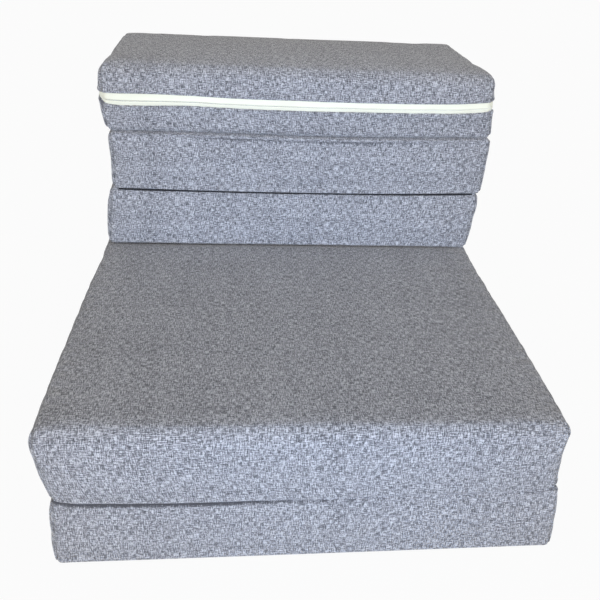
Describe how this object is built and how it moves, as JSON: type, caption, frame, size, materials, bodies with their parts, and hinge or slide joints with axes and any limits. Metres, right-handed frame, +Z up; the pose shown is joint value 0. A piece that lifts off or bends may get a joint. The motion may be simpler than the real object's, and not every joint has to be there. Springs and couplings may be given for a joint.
{
  "type": "convertible chair bed",
  "caption": "Foam chair that opens out flat into a guest mattress: fabric-covered blocks hinged edge to edge by sewn folds, with a zip across the top block.",
  "frame": {"origin": "on the floor under the middle of the footprint", "axes": "+Z up, the front faces -Y, +X to the right seen from the front"},
  "size_m": [0.66, 0.749, 0.5018],
  "materials": {
    "cover_fabric": "woven linen look, heathered grey",
    "fold_fabric": "the same woven fabric, doubled and sewn",
    "foam": "open-cell polyurethane foam",
    "zip_tape": "ivory woven tape",
    "zip_teeth": "ivory nylon",
    "zip_metal": "ivory lacquer on zinc"
  },
  "bodies": {
    "seat_base": {"seat_base_foam": "foam", "seat_base_cover": "cover_fabric", "seat_base_side_left": "cover_fabric", "seat_base_side_right": "cover_fabric", "front_fold_strip": "fold_fabric"},
    "seat_top": {"seat_top_foam": "foam", "seat_top_cover": "cover_fabric", "seat_top_side_left": "cover_fabric", "seat_top_side_right": "cover_fabric", "rear_lower_fold_strip": "fold_fabric"},
    "back_lower": {"back_lower_foam": "foam", "back_lower_cover": "cover_fabric", "back_lower_side_left": "cover_fabric", "back_lower_side_right": "cover_fabric", "middle_fold_strip": "fold_fabric"},
    "back_middle": {"back_middle_foam": "foam", "back_middle_cover": "cover_fabric", "back_middle_side_left": "cover_fabric", "back_middle_side_right": "cover_fabric", "rear_upper_fold_strip": "fold_fabric"},
    "back_upper": {"back_upper_foam": "foam", "back_upper_cover": "cover_fabric", "back_upper_side_left": "cover_fabric", "back_upper_side_right": "cover_fabric", "zip_tape_upper": "zip_tape", "zip_tape_lower": "zip_tape", "zip_teeth_upper": "zip_teeth", "zip_teeth_lower": "zip_teeth", "zip_end_stops": "zip_teeth"},
    "zip_slider": {"zip_slider_body": "zip_metal"},
    "zip_pull": {"zip_pull_tab": "zip_metal"}
  },
  "joints": [
    {"name": "seat_fold", "type": "hinge", "parent": "seat_base", "child": "seat_top", "pos_m": [0, -0.3733, 0.1], "axis": [1, 0, 0], "range_deg": [0, 180], "deforming": ["front_fold_strip"]},
    {"name": "lower_back_fold", "type": "hinge", "parent": "seat_top", "child": "back_lower", "pos_m": [0, 0.3733, 0.2], "axis": [-1, 0, 0], "range_deg": [0, 180], "deforming": ["rear_lower_fold_strip"]},
    {"name": "middle_back_fold", "type": "hinge", "parent": "back_lower", "child": "back_middle", "pos_m": [0, 0.1467, 0.3], "axis": [1, 0, 0], "range_deg": [0, 180], "deforming": ["middle_fold_strip"]},
    {"name": "upper_back_fold", "type": "hinge", "parent": "back_middle", "child": "back_upper", "pos_m": [0, 0.3733, 0.4], "axis": [-1, 0, 0], "range_deg": [0, 180], "deforming": ["rear_upper_fold_strip"]},
    {"name": "zip_slide", "type": "slide", "parent": "back_upper", "child": "zip_slider", "axis": [0.0183, -0.9998, 0], "range_m": [0, 0.092], "deforming": ["zip_tape_upper", "zip_tape_lower", "zip_teeth_upper", "zip_teeth_lower"]},
    {"name": "pull_swing", "type": "hinge", "parent": "zip_slider", "child": "zip_pull", "pos_m": [0.32436, 0.26703, 0.45], "axis": [0, 0, -1], "range_deg": [0, 180]}
  ],
  "couplings": [
    {"joint": "lower_back_fold", "follows": "seat_fold", "ratio": 1},
    {"joint": "upper_back_fold", "follows": "middle_back_fold", "ratio": 1}
  ]
}
